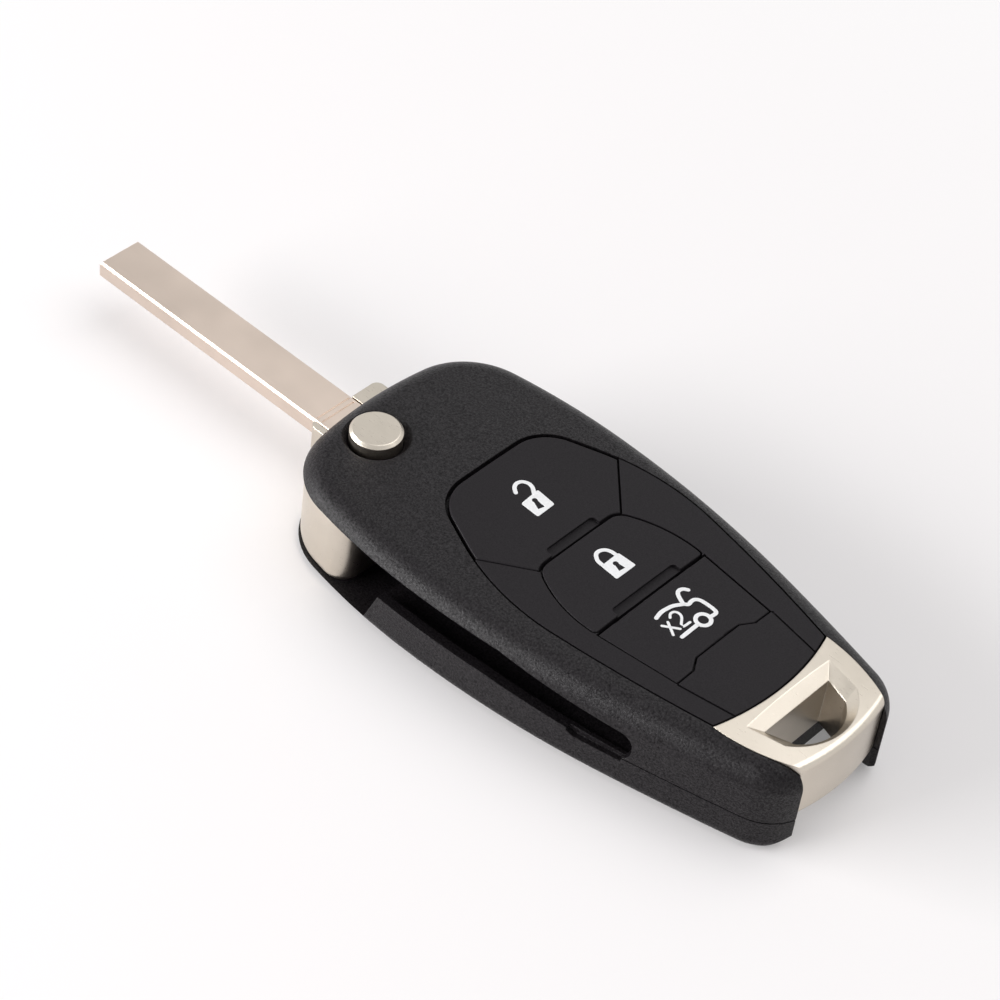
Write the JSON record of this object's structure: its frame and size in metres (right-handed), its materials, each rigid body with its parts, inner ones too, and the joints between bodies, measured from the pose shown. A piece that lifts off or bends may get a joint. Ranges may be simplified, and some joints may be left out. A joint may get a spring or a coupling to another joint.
{
  "type": "flip key remote shell",
  "caption": "Folding car key shell: black case with a button pad, bright keyring loop and head, round release button and an uncut blade that swings out.",
  "frame": {"origin": "on the rear face, on the case's middle plane, level with the hinge along the key", "axes": "+X from the blade to the keyring end, -Y the side with the blade slot, +Z the button side"},
  "size_m": [0.1351, 0.0438, 0.0164],
  "materials": {
    "case_plastic": "fine-grained matt",
    "pad_plastic": "smooth satin",
    "button_plastic": "smooth satin",
    "membrane_rubber": "matt",
    "satin_chrome": "satin chrome plate",
    "blade_metal": "nickel silver, milled",
    "steel": "plain",
    "inner_plastic": "matt"
  },
  "bodies": {
    "case": {"front_case": "case_plastic", "rear_case": "case_plastic", "pad_frame": "pad_plastic", "button_membrane": "membrane_rubber", "keyring_loop": "satin_chrome", "loop_pin": "steel", "spring_seat": "inner_plastic", "release_spring": "steel", "board_tray": "inner_plastic", "battery_clip_negative": "steel", "battery_clip_positive": "steel"},
    "head": {"blade_head": "satin_chrome", "blade": "blade_metal", "blade_pin": "steel"},
    "release": {"release_button": "satin_chrome"},
    "unlock": {"unlock_button": "button_plastic"},
    "lock": {"lock_button": "button_plastic"},
    "trunk": {"trunk_button": "button_plastic"}
  },
  "joints": [
    {"name": "blade_flip", "type": "hinge", "parent": "case", "child": "head", "pos_m": [0, -0.006, 0.0071], "axis": [0, 0, 1], "range_deg": [0, 180], "stiffness_Nm_per_rad": 0.01, "springref_deg": -17.19},
    {"name": "release_press", "type": "slide", "parent": "case", "child": "release", "axis": [0, 0, 1], "range_m": [-0.0022, 0], "stiffness_N_per_m": 800, "deforming": ["release_spring"]},
    {"name": "unlock_press", "type": "slide", "parent": "case", "child": "unlock", "axis": [0, 0, 1], "range_m": [-0.0005, 0], "stiffness_N_per_m": 1500},
    {"name": "lock_press", "type": "slide", "parent": "case", "child": "lock", "axis": [0, 0, 1], "range_m": [-0.0005, 0], "stiffness_N_per_m": 1500},
    {"name": "trunk_press", "type": "slide", "parent": "case", "child": "trunk", "axis": [0, 0, 1], "range_m": [-0.0005, 0], "stiffness_N_per_m": 1500}
  ]
}
